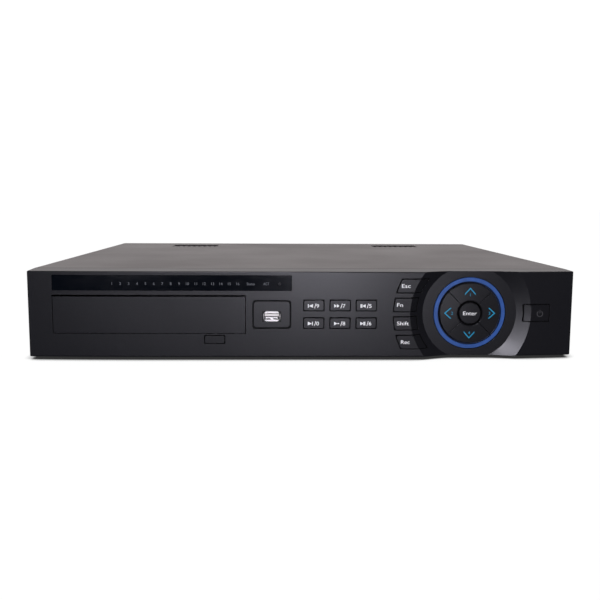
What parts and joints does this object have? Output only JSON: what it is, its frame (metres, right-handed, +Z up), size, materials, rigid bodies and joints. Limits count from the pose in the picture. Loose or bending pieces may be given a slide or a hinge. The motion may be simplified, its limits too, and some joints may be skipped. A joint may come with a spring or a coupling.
{
  "type": "video recorder",
  "caption": "Low wide surveillance video recorder with a steel cover, a moulded front with a lit direction pad, transport keys, a disc drawer and rear video, network and mains sockets.",
  "frame": {"origin": "centre of the bounding box in plan, at the surface that the feet stand on", "axes": "+X to the viewer's right along the width, +Y from the front to the back, +Z up"},
  "size_m": [0.44, 0.411, 0.071],
  "materials": {
    "bezel_plastic": "fine textured black moulding",
    "key_plastic": "satin black moulding",
    "smoked_window": "polished smoked acrylic",
    "ring_light": "blue translucent light guide",
    "lamp_lens": "clear lamp lens",
    "cover_paint": "fine textured dark powder coat",
    "zinc_steel": "zinc plated sheet steel",
    "screw_steel": "black zinc screws",
    "foot_rubber": "moulded rubber",
    "circuit_board": "green solder mask on glass epoxy",
    "black_parts": "black moulded plastic",
    "socket_steel": "bright nickel plate",
    "white_insert": "off-white moulded plastic",
    "port_plastic": "blue and black moulded plastic",
    "ribbon_grey": "grey ribbon insulation",
    "cable_red": "red cable jacket",
    "disk_casting": "cast and plated aluminium",
    "sink_metal": "clear anodised aluminium",
    "tray_plastic": "black moulded tray",
    "terminal_green": "green terminal block",
    "supply_parts": "supply board and components",
    "pin_brass": "nickel plated brass",
    "fan_plastic": "black glass-filled plastic"
  },
  "bodies": {
    "chassis": {"front_bezel": "bezel_plastic", "indicator_window": "smoked_window", "usb_insert_plate": "bezel_plastic", "front_usb_shell": "socket_steel", "front_usb_tongue": "white_insert", "light_ring": "ring_light", "lamp_board": "circuit_board", "status_lamps": "lamp_lens", "key_board": "circuit_board", "key_switches": "black_parts", "ribbon_cable": "ribbon_grey", "drive_case": "zinc_steel", "drive_mechanism": "black_parts", "base_tray": "zinc_steel", "top_cover": "cover_paint", "disk_cage": "zinc_steel", "hard_disks": "disk_casting", "machine_screws": "screw_steel", "rubber_feet": "foot_rubber", "main_board": "circuit_board", "board_parts": "black_parts", "heat_sink": "sink_metal", "backup_battery": "socket_steel", "data_cables": "cable_red", "power_supply": "supply_parts", "rear_panel": "cover_paint", "video_jacks": "socket_steel", "jack_insulators": "white_insert", "jack_board": "circuit_board", "audio_jacks": "socket_steel", "monitor_port": "socket_steel", "signal_ports": "socket_steel", "port_inserts": "port_plastic", "alarm_terminals": "terminal_green", "mains_inlet": "black_parts", "mains_pins": "pin_brass", "rocker_frame": "black_parts", "fan_frames": "fan_plastic"},
    "key_previous": {"key_previous": "key_plastic"},
    "key_fast_forward": {"key_fast_forward": "key_plastic"},
    "key_frame_back": {"key_frame_back": "key_plastic"},
    "key_next": {"key_next": "key_plastic"},
    "key_slow_play": {"key_slow_play": "key_plastic"},
    "key_play_pause": {"key_play_pause": "key_plastic"},
    "key_escape": {"key_escape": "key_plastic"},
    "key_function": {"key_function": "key_plastic"},
    "key_shift": {"key_shift": "key_plastic"},
    "key_record": {"key_record": "key_plastic"},
    "key_up": {"key_up": "key_plastic"},
    "key_right": {"key_right": "key_plastic"},
    "key_down": {"key_down": "key_plastic"},
    "key_left": {"key_left": "key_plastic"},
    "key_enter": {"key_enter": "key_plastic"},
    "power_button": {"power_button": "key_plastic"},
    "eject_button": {"eject_button": "key_plastic"},
    "power_rocker": {"power_rocker": "black_parts"},
    "fan_rotor_left": {"fan_rotor_left": "fan_plastic"},
    "fan_rotor_right": {"fan_rotor_right": "fan_plastic"},
    "disc_drawer": {"drawer_front": "bezel_plastic", "disc_tray": "tray_plastic"}
  },
  "joints": [
    {"name": "key_previous_press", "type": "slide", "parent": "chassis", "child": "key_previous", "axis": [0, 1, 0], "range_m": [0, 0.0006], "stiffness_N_per_m": 900, "springref_m": -0.0006},
    {"name": "key_fast_forward_press", "type": "slide", "parent": "chassis", "child": "key_fast_forward", "axis": [0, 1, 0], "range_m": [0, 0.0006], "stiffness_N_per_m": 900, "springref_m": -0.0006},
    {"name": "key_frame_back_press", "type": "slide", "parent": "chassis", "child": "key_frame_back", "axis": [0, 1, 0], "range_m": [0, 0.0006], "stiffness_N_per_m": 900, "springref_m": -0.0006},
    {"name": "key_next_press", "type": "slide", "parent": "chassis", "child": "key_next", "axis": [0, 1, 0], "range_m": [0, 0.0006], "stiffness_N_per_m": 900, "springref_m": -0.0006},
    {"name": "key_slow_play_press", "type": "slide", "parent": "chassis", "child": "key_slow_play", "axis": [0, 1, 0], "range_m": [0, 0.0006], "stiffness_N_per_m": 900, "springref_m": -0.0006},
    {"name": "key_play_pause_press", "type": "slide", "parent": "chassis", "child": "key_play_pause", "axis": [0, 1, 0], "range_m": [0, 0.0006], "stiffness_N_per_m": 900, "springref_m": -0.0006},
    {"name": "key_escape_press", "type": "slide", "parent": "chassis", "child": "key_escape", "axis": [0, 1, 0], "range_m": [0, 0.0006], "stiffness_N_per_m": 900, "springref_m": -0.0006},
    {"name": "key_function_press", "type": "slide", "parent": "chassis", "child": "key_function", "axis": [0, 1, 0], "range_m": [0, 0.0006], "stiffness_N_per_m": 900, "springref_m": -0.0006},
    {"name": "key_shift_press", "type": "slide", "parent": "chassis", "child": "key_shift", "axis": [0, 1, 0], "range_m": [0, 0.0006], "stiffness_N_per_m": 900, "springref_m": -0.0006},
    {"name": "key_record_press", "type": "slide", "parent": "chassis", "child": "key_record", "axis": [0, 1, 0], "range_m": [0, 0.0006], "stiffness_N_per_m": 900, "springref_m": -0.0006},
    {"name": "key_up_press", "type": "slide", "parent": "chassis", "child": "key_up", "axis": [0, 1, 0], "range_m": [0, 0.0006], "stiffness_N_per_m": 900, "springref_m": -0.0006},
    {"name": "key_right_press", "type": "slide", "parent": "chassis", "child": "key_right", "axis": [0, 1, 0], "range_m": [0, 0.0006], "stiffness_N_per_m": 900, "springref_m": -0.0006},
    {"name": "key_down_press", "type": "slide", "parent": "chassis", "child": "key_down", "axis": [0, 1, 0], "range_m": [0, 0.0006], "stiffness_N_per_m": 900, "springref_m": -0.0006},
    {"name": "key_left_press", "type": "slide", "parent": "chassis", "child": "key_left", "axis": [0, 1, 0], "range_m": [0, 0.0006], "stiffness_N_per_m": 900, "springref_m": -0.0006},
    {"name": "key_enter_press", "type": "slide", "parent": "chassis", "child": "key_enter", "axis": [0, 1, 0], "range_m": [0, 0.0006], "stiffness_N_per_m": 900, "springref_m": -0.0006},
    {"name": "power_button_press", "type": "slide", "parent": "chassis", "child": "power_button", "axis": [0, 1, 0], "range_m": [0, 0.0006], "stiffness_N_per_m": 900, "springref_m": -0.0006},
    {"name": "eject_button_press", "type": "slide", "parent": "chassis", "child": "eject_button", "axis": [0, 1, 0], "range_m": [0, 0.001], "stiffness_N_per_m": 600, "springref_m": -0.001},
    {"name": "drawer_slide", "type": "slide", "parent": "chassis", "child": "disc_drawer", "axis": [0, -1, 0], "range_m": [0, 0.137]},
    {"name": "rocker_tilt", "type": "hinge", "parent": "chassis", "child": "power_rocker", "pos_m": [-0.15, 0.19, 0.032], "axis": [-1, 0, 0], "range_deg": [0, 12]},
    {"name": "fan_rotor_left_spin", "type": "hinge", "parent": "chassis", "child": "fan_rotor_left", "pos_m": [-0.092, 0.1807, 0.034], "axis": [0, 1, 0], "continuous": true},
    {"name": "fan_rotor_right_spin", "type": "hinge", "parent": "chassis", "child": "fan_rotor_right", "pos_m": [-0.044, 0.1807, 0.034], "axis": [0, 1, 0], "continuous": true}
  ]
}
